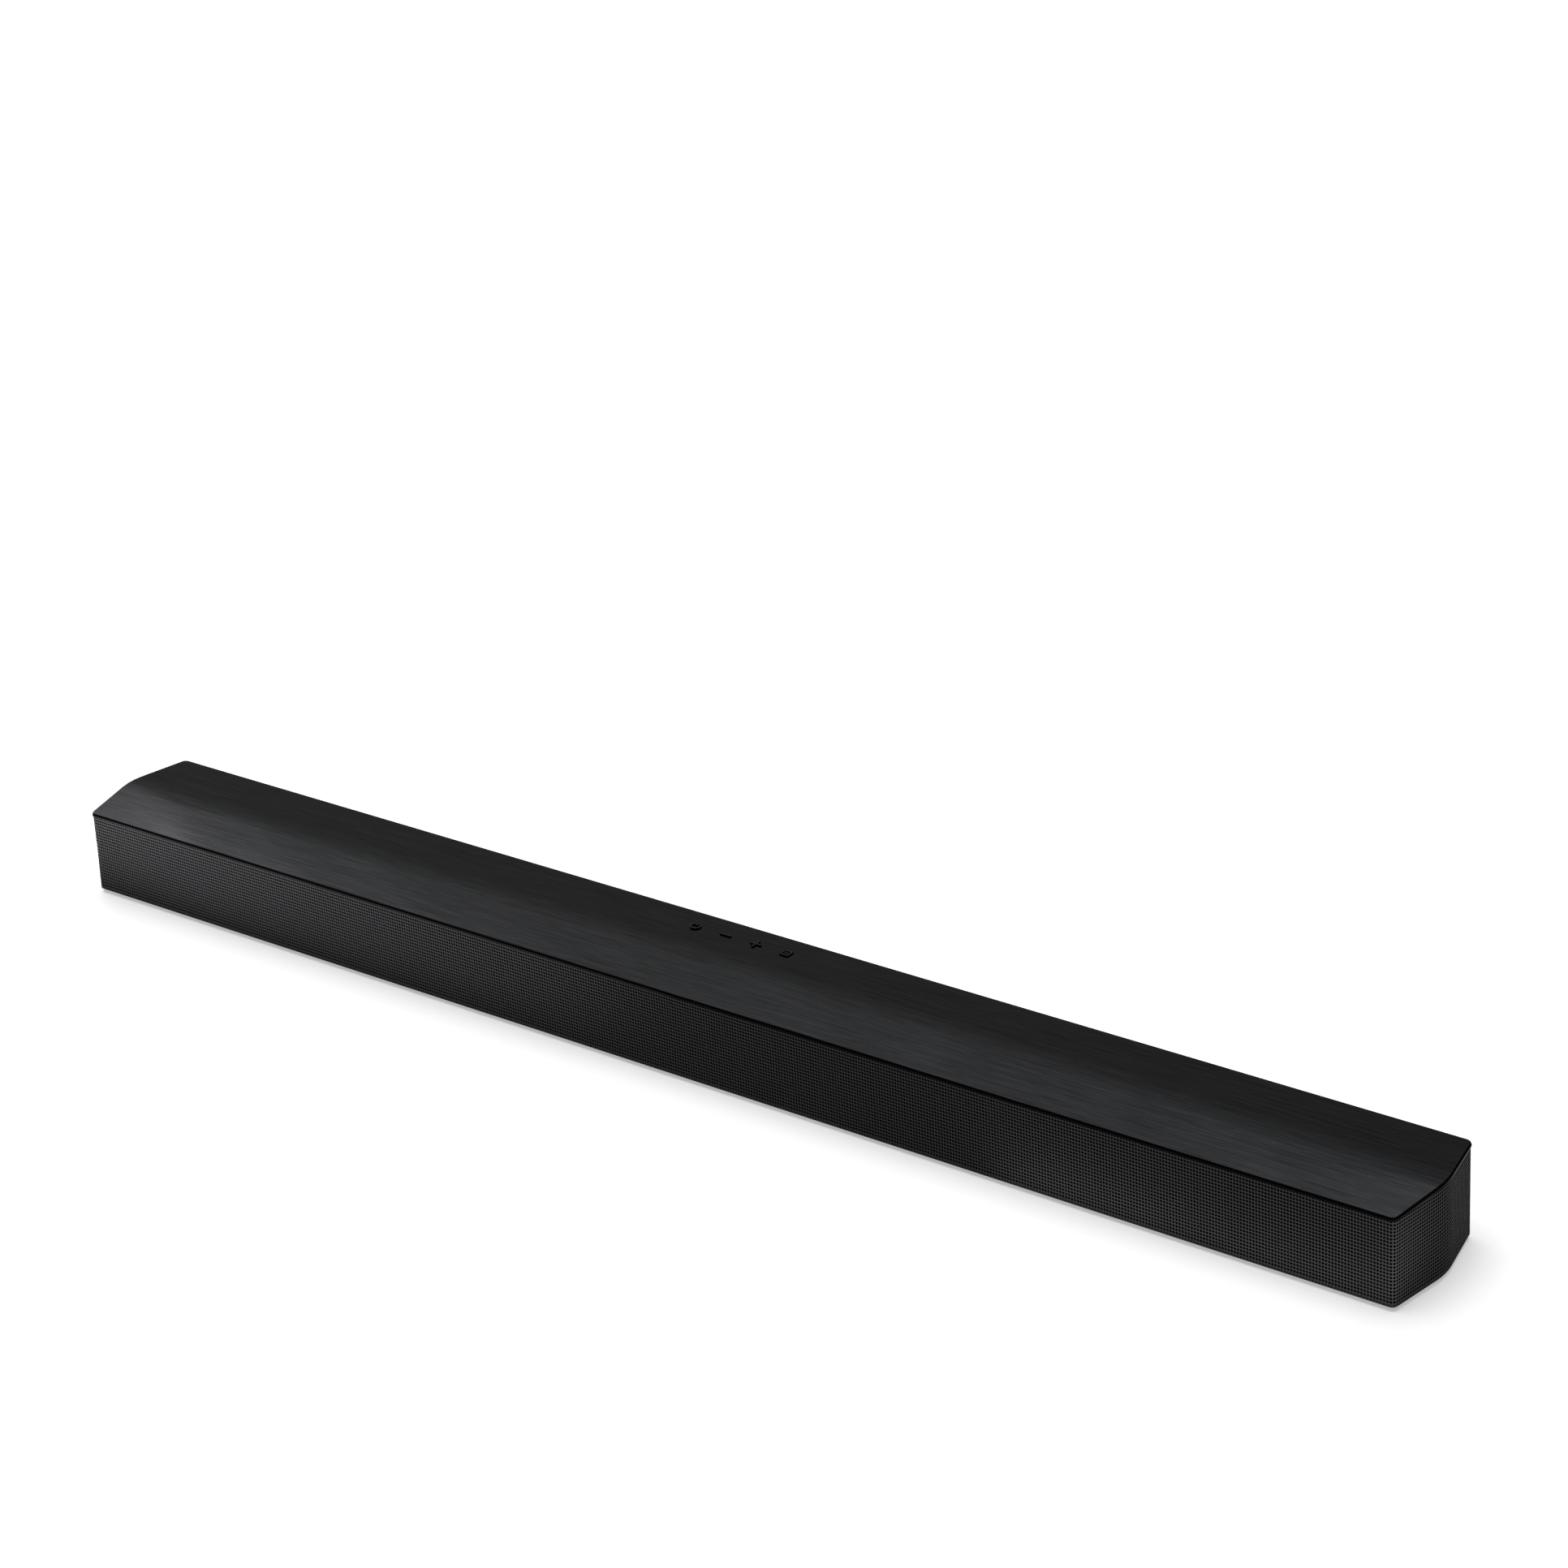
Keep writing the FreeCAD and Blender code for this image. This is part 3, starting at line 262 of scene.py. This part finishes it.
def bump(tree, shader, value, distance, strength=1.0):
    node = add(tree, "ShaderNodeBump")
    node.inputs["Strength"].default_value = strength
    node.inputs["Distance"].default_value = distance
    tree.links.new(value, node.inputs["Height"])
    tree.links.new(node.outputs["Normal"], shader.inputs["Normal"])


def upward(tree, low, high):
    """0 where the surface faces sideways, 1 where it faces up, from the object's own normals."""
    place = add(tree, "ShaderNodeTexCoord")
    parts = add(tree, "ShaderNodeSeparateXYZ")
    tree.links.new(place.outputs["Normal"], parts.inputs["Vector"])
    return spread(tree, parts.outputs["Z"], low, high, 0.0, 1.0)


def brushed_panel():
    """Dark anodised sheet, brushed along the length."""
    mat, tree, shader = material("brushed_panel", (0.030, 0.031, 0.034), 0.16, 1.0)
    fine = noise(tree, 1.0, (70, 3600, 3600), 3.0)
    coarse = noise(tree, 1.0, (22, 1100, 1100), 3.0)
    both = add(tree, "ShaderNodeMath", operation="ADD")
    tree.links.new(fine, both.inputs[0])
    tree.links.new(coarse, both.inputs[1])
    level = spread(tree, both.outputs[0], 0.75, 1.25, 0, 1)
    tint(tree, shader, level, (0.012, 0.0125, 0.0135), (0.048, 0.0499, 0.0537))
    tree.links.new(spread(tree, coarse, 0.3, 0.7, 0.14, 0.18), shader.inputs["Roughness"])
    bump(tree, shader, fine, 0.00001, 0.35)
    return mat


def black_edge(name, gloss):
    """Smooth black of the bead. The copy without gloss is painted shade, black with no reflection, laid on the
    bead's top and the plate's edge.
    """
    mat, tree, shader = material(name, (0.002, 0.002, 0.0022), 0.14, Specular_IOR_Level=gloss)
    level = noise(tree, 90, detail=2)
    tree.links.new(spread(tree, level, 0.35, 0.65, 0.11, 0.18), shader.inputs["Roughness"])
    bump(tree, shader, noise(tree, 260), 0.00002, 0.2)
    return mat


def moulded(name, color, roughness, grain=2200, depth=0.00003, **sockets):
    """Moulded plastic with a fine spark-eroded grain."""
    mat, tree, shader = material(name, color, roughness, **sockets)
    fine = noise(tree, grain, detail=4)
    broad = noise(tree, 18, detail=3)
    tint(tree, shader, broad, tuple(c * 0.85 for c in color), tuple(c * 1.2 for c in color))
    tree.links.new(spread(tree, fine, 0.3, 0.7, roughness - 0.08, roughness + 0.08), shader.inputs["Roughness"])
    bump(tree, shader, fine, depth, 0.6)
    return mat


def key_cap():
    """Satin black plastic, with painted light and shade: paler on top, near black on its sides."""
    mat, tree, shader = material("key_plastic", (0.012, 0.012, 0.013), 0.45, Specular_IOR_Level=0.14)
    # painted light and shade: the key tops lighter, their sides near black, picked by the normals
    top = upward(tree, 0.5, 0.9)
    tint(tree, shader, top, (0.001, 0.001, 0.001), (0.012, 0.012, 0.013))
    tree.links.new(spread(tree, noise(tree, 1800), 0.3, 0.7, 0.40, 0.52), shader.inputs["Roughness"])
    return mat


def coated_grille():
    """Satin powder coat on perforated steel."""
    mat, tree, shader = material("grille_metal", (0.030, 0.030, 0.032), 0.42, Specular_IOR_Level=0.012)
    fine = noise(tree, 1500, detail=3)
    broad = noise(tree, 12, detail=2)
    tint(tree, shader, broad, (0.028, 0.028, 0.0295), (0.033, 0.033, 0.0345))
    tree.links.new(spread(tree, fine, 0.3, 0.7, 0.40, 0.52), shader.inputs["Roughness"])
    bump(tree, shader, fine, 0.00002, 0.5)
    return mat


def woven(name, color, threads):
    """A plain weave from two crossed sets of threads."""
    mat, tree, shader = material(name, color, 0.9, Specular_IOR_Level=0.05)
    place = add(tree, "ShaderNodeTexCoord")
    waves = []
    for direction in ("X", "Z"):
        wave = add(tree, "ShaderNodeTexWave", Scale=threads, Distortion=0.4)
        wave.bands_direction = direction
        tree.links.new(place.outputs["Object"], wave.inputs["Vector"])
        waves.append(wave.outputs["Fac"])
    product = add(tree, "ShaderNodeMath", operation="MULTIPLY")
    tree.links.new(waves[0], product.inputs[0])
    tree.links.new(waves[1], product.inputs[1])
    tint(tree, shader, product.outputs[0], tuple(c * 0.5 for c in color), tuple(c * 1.6 for c in color))
    bump(tree, shader, product.outputs[0], 0.00008, 0.8)
    return mat


def metal(name, color, roughness, stretch=(1, 1, 1), scale=900, **sockets):
    """Bare or plated metal with fine tool marks."""
    mat, tree, shader = material(name, color, roughness, 1.0, **sockets)
    marks = noise(tree, scale, stretch)
    tint(tree, shader, marks, tuple(c * 0.8 for c in color), tuple(min(1, c * 1.15) for c in color))
    tree.links.new(spread(tree, marks, 0.3, 0.7, roughness - 0.07, roughness + 0.1), shader.inputs["Roughness"])
    bump(tree, shader, marks, 0.00001, 0.4)
    return mat


def circuit_board():
    """Green solder mask with lighter runs where copper lies under it."""
    mat, tree, shader = material("circuit_board", (0.015, 0.10, 0.04), 0.35)
    place = add(tree, "ShaderNodeTexCoord")
    runs = add(tree, "ShaderNodeTexBrick", Scale=220.0)
    runs.inputs["Color1"].default_value = (0.012, 0.085, 0.035, 1)
    runs.inputs["Color2"].default_value = (0.014, 0.095, 0.038, 1)
    runs.inputs["Mortar"].default_value = (0.03, 0.17, 0.07, 1)
    tree.links.new(place.outputs["Object"], runs.inputs["Vector"])
    tree.links.new(runs.outputs["Color"], shader.inputs["Base Color"])
    bump(tree, shader, runs.outputs["Fac"], 0.00003, 0.3)
    return mat


def all_materials():
    """Every material by its slot's name."""
    return {
        "brushed_panel": brushed_panel(),
        "gloss_rim": black_edge("gloss_rim", 0.02),
        # painted shade: black with no reflection at all, for the top of the bead and the plate's edge
        "painted_shade_edge": black_edge("painted_shade_edge", 0.0),
        "black_plastic": moulded("black_plastic", (0.016, 0.016, 0.017), 0.5),
        "grille_metal": coated_grille(),
        # painted shade: the hole walls near black, far darker than the powder coat they are cut through
        "painted_shade_hole_wall": moulded("painted_shade_hole_wall", (0.0015, 0.0015, 0.0015), 0.7, 1500, 0.00001, Specular_IOR_Level=0.01),
        "scrim_cloth": woven("scrim_cloth", (0.0012, 0.0012, 0.0012), 900),
        "foam": moulded("foam", (0.03, 0.03, 0.03), 0.9, 900, 0.0002),
        "socket_metal": metal("socket_metal", (0.55, 0.54, 0.52), 0.32, (1, 12, 12), 300),
        "socket_plastic": moulded("socket_plastic", (0.012, 0.012, 0.012), 0.45),
        "pin_brass": metal("pin_brass", (0.75, 0.71, 0.58), 0.25, (8, 1, 8), 300),
        "driver_frame": moulded("driver_frame", (0.03, 0.03, 0.03), 0.4, 1200),
        "magnet": metal("magnet", (0.12, 0.12, 0.12), 0.55),
        "cone_paper": moulded("cone_paper", (0.035, 0.035, 0.035), 0.9, 700, 0.00015),
        "soft_rubber": moulded("soft_rubber", (0.015, 0.015, 0.015), 0.6, 1600),
        "dome_silk": woven("dome_silk", (0.02, 0.02, 0.02), 1200),
        "screw_steel": metal("screw_steel", (0.10, 0.10, 0.105), 0.35),
        "circuit_board": circuit_board(),
        "chip": moulded("chip", (0.014, 0.014, 0.014), 0.5, 3000),
        "shield_can": metal("shield_can", (0.6, 0.6, 0.58), 0.3),
        "capacitor_sleeve": moulded("capacitor_sleeve", (0.012, 0.02, 0.07), 0.25, 600),
        "ferrite": moulded("ferrite", (0.05, 0.05, 0.052), 0.6, 1400, 0.00006),
        "winding": metal("winding", (0.55, 0.24, 0.10), 0.35, (1, 1, 30), 80),
        "heatsink": metal("heatsink", (0.6, 0.6, 0.62), 0.35, (12, 1, 12), 160),
        "ribbon": moulded("ribbon", (0.6, 0.6, 0.58), 0.5, 500),
        "display": moulded("display", (0.008, 0.008, 0.010), 0.12, 200, 0.000002),
        "wire": moulded("wire", (0.02, 0.02, 0.02), 0.5, 400, 0.0001),
        "clip_nylon": moulded("clip_nylon", (0.45, 0.45, 0.42), 0.5),
        "insert_brass": metal("insert_brass", (0.75, 0.58, 0.28), 0.3, (1, 1, 10), 300),
        "foot_rubber": moulded("foot_rubber", (0.018, 0.018, 0.018), 0.8, 1500, 0.00008),
        "key_plastic": key_cap(),
    }


materials = all_materials()
for entry in frame["record"]["subparts"]:
    slots = nodes[entry["node"]].data.materials
    slots.clear()
    slots.append(materials[entry["material_slot"]])
    # the bead's top and the plate's edge, picked by their normals, get painted shade: a black line with no
    # reflection between plate and bead
    if entry["material_slot"] in PAINTED_SHADE_FACES:
        slots.append(materials["painted_shade_edge"])
        least, most = PAINTED_SHADE_FACES[entry["material_slot"]]
        for face in nodes[entry["node"]].data.polygons:
            face.material_index = int(least < face.normal.z < most)


# --- perforated grille ---------------------------------------------------------------------------

grille_points, grille_along = outline(GRILLE_INSET)
grille_length = grille_along[-1]
columns = int(round(grille_length / PITCH_X))
column_pitch = grille_length / columns
front_lip = crown_height(-HALF_DEPTH) - LIP_DROP
top_row_centre = front_lip - TOP_ROW_BELOW_LIP
rows_below = int((top_row_centre - FOOT) / PITCH_Z)
lattice_bottom = top_row_centre - (rows_below + 0.5) * PITCH_Z
row_count = rows_below + 1 + ROWS_ABOVE_LIP


def grille_piece(name, first, last):
    """The columns first to last - 1 of the perforated sheet, as one thin shell."""
    n = last - first
    m = row_count
    s_line = (first + np.arange(n + 1)) * column_pitch
    z_line = lattice_bottom + np.arange(m + 1) * PITCH_Z
    s_mid = (s_line[:-1] + s_line[1:]) / 2
    z_mid = (z_line[:-1] + z_line[1:]) / 2
    angle = np.arange(RING) * 2 * math.pi / RING

    corner_s, corner_z = np.meshgrid(s_line, z_line, indexing="ij")
    level_s, level_z = np.meshgrid(s_mid, z_line, indexing="ij")
    upright_s, upright_z = np.meshgrid(s_line, z_mid, indexing="ij")
    centre_s, centre_z = np.meshgrid(s_mid, z_mid, indexing="ij")
    ring_s = centre_s[:, :, None] + HOLE_R * np.cos(angle)
    ring_z = centre_z[:, :, None] + HOLE_R * np.sin(angle)
    s = np.concatenate([corner_s.ravel(), level_s.ravel(), upright_s.ravel(), ring_s.ravel()])
    z = np.concatenate([corner_z.ravel(), level_z.ravel(), upright_z.ravel(), ring_z.ravel()])

    level_start = (n + 1) * (m + 1)
    upright_start = level_start + n * (m + 1)
    ring_start = upright_start + (n + 1) * m
    i, j = np.meshgrid(np.arange(n), np.arange(m), indexing="ij")
    i, j = i.ravel(), j.ravel()

    def corner(a, b):
        return a * (m + 1) + b

    def level(a, b):
        return level_start + a * (m + 1) + b

    def upright(a, b):
        return upright_start + a * m + b

    def ring(k):
        return ring_start + (i * m + j) * RING + k % RING

    east, north, west, south = upright(i + 1, j), level(i, j + 1), upright(i, j), level(i, j)
    quarter = RING // 4
    fans = []
    for number, (first_side, tip, second_side) in enumerate((
        (east, corner(i + 1, j + 1), north),
        (north, corner(i, j + 1), west),
        (west, corner(i, j), south),
        (south, corner(i + 1, j), east),
    )):
        rim = [ring(number * quarter + k) for k in range(quarter, -1, -1)]
        fans.append(np.stack([first_side, tip, second_side] + rim, axis=1))
    faces = np.concatenate(fans)

    x = np.interp(s, grille_along, grille_points[:, 0])
    y = np.interp(s, grille_along, grille_points[:, 1])
    top = crown_height(y) - GRILLE_DROP
    above = z >= top - HAIR
    below = z <= FOOT + HAIR
    keep = ~(above[faces].all(axis=1) | below[faces].all(axis=1))
    z = np.clip(z, FOOT, top)
    vertices = np.stack([x, y, z], axis=1)

    obj = new_object(name, vertices.tolist(), faces[keep].tolist(), materials["grille_metal"])
    # second slot, for the hole walls and the sheet's back: painted shade in the holes
    obj.data.materials.append(materials["painted_shade_hole_wall"])
    work = bmesh.new()
    work.from_mesh(obj.data)
    loose = [v for v in work.verts if not v.link_faces]
    bmesh.ops.delete(work, geom=loose, context="VERTS")
    bmesh.ops.remove_doubles(work, verts=work.verts, dist=JOIN_WITHIN)
    work.to_mesh(obj.data)
    work.free()
    obj.data.polygons.foreach_set("use_smooth", [True] * len(obj.data.polygons))
    shell = obj.modifiers.new("sheet", "SOLIDIFY")
    shell.thickness = SHEET
    shell.material_offset = 1
    shell.material_offset_rim = 1
    shell.offset = -1
    shell.use_even_offset = False
    sharp = obj.modifiers.new("edges", "EDGE_SPLIT")
    sharp.split_angle = math.radians(SHARP_ANGLE)
    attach(obj, "cabinet")
    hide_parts("front_grille")
    return obj


def front_columns():
    """First and last column whose middle lies on the flat front."""
    middle = (np.arange(columns) + 0.5) * column_pitch
    y = np.interp(middle, grille_along, grille_points[:, 1])
    flat = np.where(y < -(HALF_DEPTH - GRILLE_INSET) + HAIR)[0]
    return flat[0], flat[-1] + 1


first_front, last_front = front_columns()
cuts = np.linspace(first_front + END_COLUMNS, last_front - END_COLUMNS, FRONT_PIECES + 1).round().astype(int)
grille_pieces = [grille_piece("grille_left_end", 0, cuts[0])]
for index in range(FRONT_PIECES):
    grille_pieces.append(grille_piece(f"grille_front_{index + 1}", cuts[index], cuts[index + 1]))
grille_pieces.append(grille_piece("grille_right_end", cuts[-1], columns))


# --- cloth behind the grille ---------------------------------------------------------------------

def scrim():
    """Black cloth stretched behind the grille, from rear corner to rear corner."""
    points, along = outline(SCRIM_INSET)
    inside = np.where(points[:, 1] <= SCRIM_END_Y)[0]
    start, end = along[inside[0]], along[inside[-1]]
    across, up = SCRIM_COLUMNS, SCRIM_ROWS
    s = np.linspace(start, end, across + 1)
    x = np.interp(s, along, points[:, 0])
    y = np.interp(s, along, points[:, 1])
    top = crown_height(y) - SCRIM_DROP
    level = np.linspace(0, 1, up + 1)
    z = SCRIM_BOTTOM + (top - SCRIM_BOTTOM)[:, None] * level
    vertices = np.stack([np.repeat(x, up + 1), np.repeat(y, up + 1), z.ravel()], axis=1)
    faces = []
    for i in range(across):
        for j in range(up):
            a = i * (up + 1) + j
            faces.append((a, a + up + 1, a + up + 2, a + 1))
    obj = new_object("grille_cloth", vertices.tolist(), faces, materials["scrim_cloth"])
    shell = obj.modifiers.new("cloth", "SOLIDIFY")
    shell.thickness = SCRIM_THICKNESS
    shell.offset = -1
    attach(obj, "cabinet")
    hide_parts("grille_scrim")


scrim()


# --- stage, light and camera ---------------------------------------------------------------------

def floor():
    """A pale round floor under the feet, which glows a little."""
    turns = [2 * math.pi * k / FLOOR_CORNERS for k in range(FLOOR_CORNERS)]
    ring = [(FLOOR_RADIUS * math.cos(a), FLOOR_RADIUS * math.sin(a), FLOOR_Z) for a in turns]
    mat, tree, shader = material("studio_floor", (0.70, 0.70, 0.70), 0.7, Specular_IOR_Level=0.1)
    tint(tree, shader, noise(tree, 6), (0.69, 0.69, 0.69), (0.71, 0.71, 0.71))
    shader.inputs["Emission Color"].default_value = (1, 1, 1, 1)
    shader.inputs["Emission Strength"].default_value = FLOOR_GLOW
    new_object("studio_floor", ring, [tuple(range(FLOOR_CORNERS))], mat, False)


def glow(name, place, target, size, radiance):
    """A rectangular light at place that faces target."""
    data = bpy.data.lights.new(name, "AREA")
    data.shape = "RECTANGLE"
    data.size, data.size_y = size
    data.energy = radiance * math.pi * size[0] * size[1]
    obj = bpy.data.objects.new(name, data)
    obj.location = place
    obj.rotation_mode = "QUATERNION"
    obj.rotation_quaternion = (Vector(target) - Vector(place)).to_track_quat("-Z", "Y")
    bpy.context.scene.collection.objects.link(obj)


def sun(name, direction, spread_degrees, strength):
    """A very broad distant light, which lights the whole floor evenly."""
    data = bpy.data.lights.new(name, "SUN")
    data.angle = math.radians(spread_degrees)
    data.energy = strength
    obj = bpy.data.objects.new(name, data)
    obj.rotation_mode = "QUATERNION"
    obj.rotation_quaternion = Vector(direction).to_track_quat("Z", "Y")
    bpy.context.scene.collection.objects.link(obj)


def studio_world():
    """Dim surroundings with a large pale area high at the back left."""
    world = bpy.data.worlds.new("studio")
    world.use_nodes = True
    tree = world.node_tree
    background = tree.nodes["Background"]
    place = add(tree, "ShaderNodeTexCoord")
    toward = add(tree, "ShaderNodeVectorMath", operation="DOT_PRODUCT")
    toward.inputs[1].default_value = BRIGHT_SIDE
    tree.links.new(place.outputs["Generated"], toward.inputs[0])
    level = spread(tree, toward.outputs["Value"], 0.83, 1.18, WORLD_DIM, WORLD_BRIGHT)
    seen = add(tree, "ShaderNodeLightPath")
    pale = add(tree, "ShaderNodeMix", data_type="FLOAT")
    tree.links.new(seen.outputs["Is Camera Ray"], pale.inputs[0])
    tree.links.new(level, pale.inputs[2])
    pale.inputs[3].default_value = BACKDROP
    tree.links.new(pale.outputs[0], background.inputs["Strength"])
    background.inputs["Color"].default_value = (1, 1, 1, 1)
    bpy.context.scene.world = world


def camera():
    """The camera at the photograph's viewing angle."""
    data = bpy.data.cameras.new("camera")
    obj = bpy.data.objects.new("camera", data)
    bpy.context.scene.collection.objects.link(obj)
    azimuth, elevation, roll = (math.radians(a) for a in (VIEW_AZIMUTH, VIEW_ELEVATION, VIEW_ROLL))
    back = Vector((
        math.sin(azimuth) * math.cos(elevation),
        -math.cos(azimuth) * math.cos(elevation),
        math.sin(elevation),
    ))
    level = Vector((0, 0, 1)).cross(back).normalized()
    upward = back.cross(level)
    right = level * math.cos(roll) + upward * math.sin(roll)
    up = upward * math.cos(roll) - level * math.sin(roll)
    origin = Vector((0, -HALF_DEPTH, FOOT))
    obj.rotation_mode = "QUATERNION"
    obj.rotation_quaternion = Matrix((right, up, back)).transposed().to_quaternion()
    obj.location = origin + right * VIEW_RIGHT + up * VIEW_UP + back * VIEW_BACK
    data.lens = VIEW_LENS
    data.sensor_width = SENSOR
    data.shift_y = VIEW_SHIFT_Y
    data.clip_start = CLIP_NEAR
    data.clip_end = CLIP_FAR
    bpy.context.scene.camera = obj


floor()
studio_world()
sun("overhead", SUN_DIRECTION, SUN_WIDTH, SUN_STRENGTH)
for k, (x, width, share) in enumerate(LEFT_STRIPS):
    for name, (z, tall, radiance) in (("low_strip", LOW_STRIP), ("high_strip", HIGH_STRIP)):
        glow(f"{name}_{k}", (x, STRIP_Y, z), (x + LEFT_AIM, AIM_Y, AIM_Z), (width, tall), radiance * share)
for k, (x, width, radiance) in enumerate(SIDE_STRIPS):
    z, tall = SIDE_STRIP
    glow(f"side_strip_{k}", (x, STRIP_Y, z), (x + SIDE_AIM, AIM_Y, AIM_Z), (width, tall), radiance)
for k, (x, y, width, depth, radiance) in enumerate(CARDS):
    glow(f"card_{k}", (x, y, CARD_Z), (x, y, 1.0), (width, depth), radiance)
camera()
bpy.context.scene.view_settings.view_transform = "Standard"
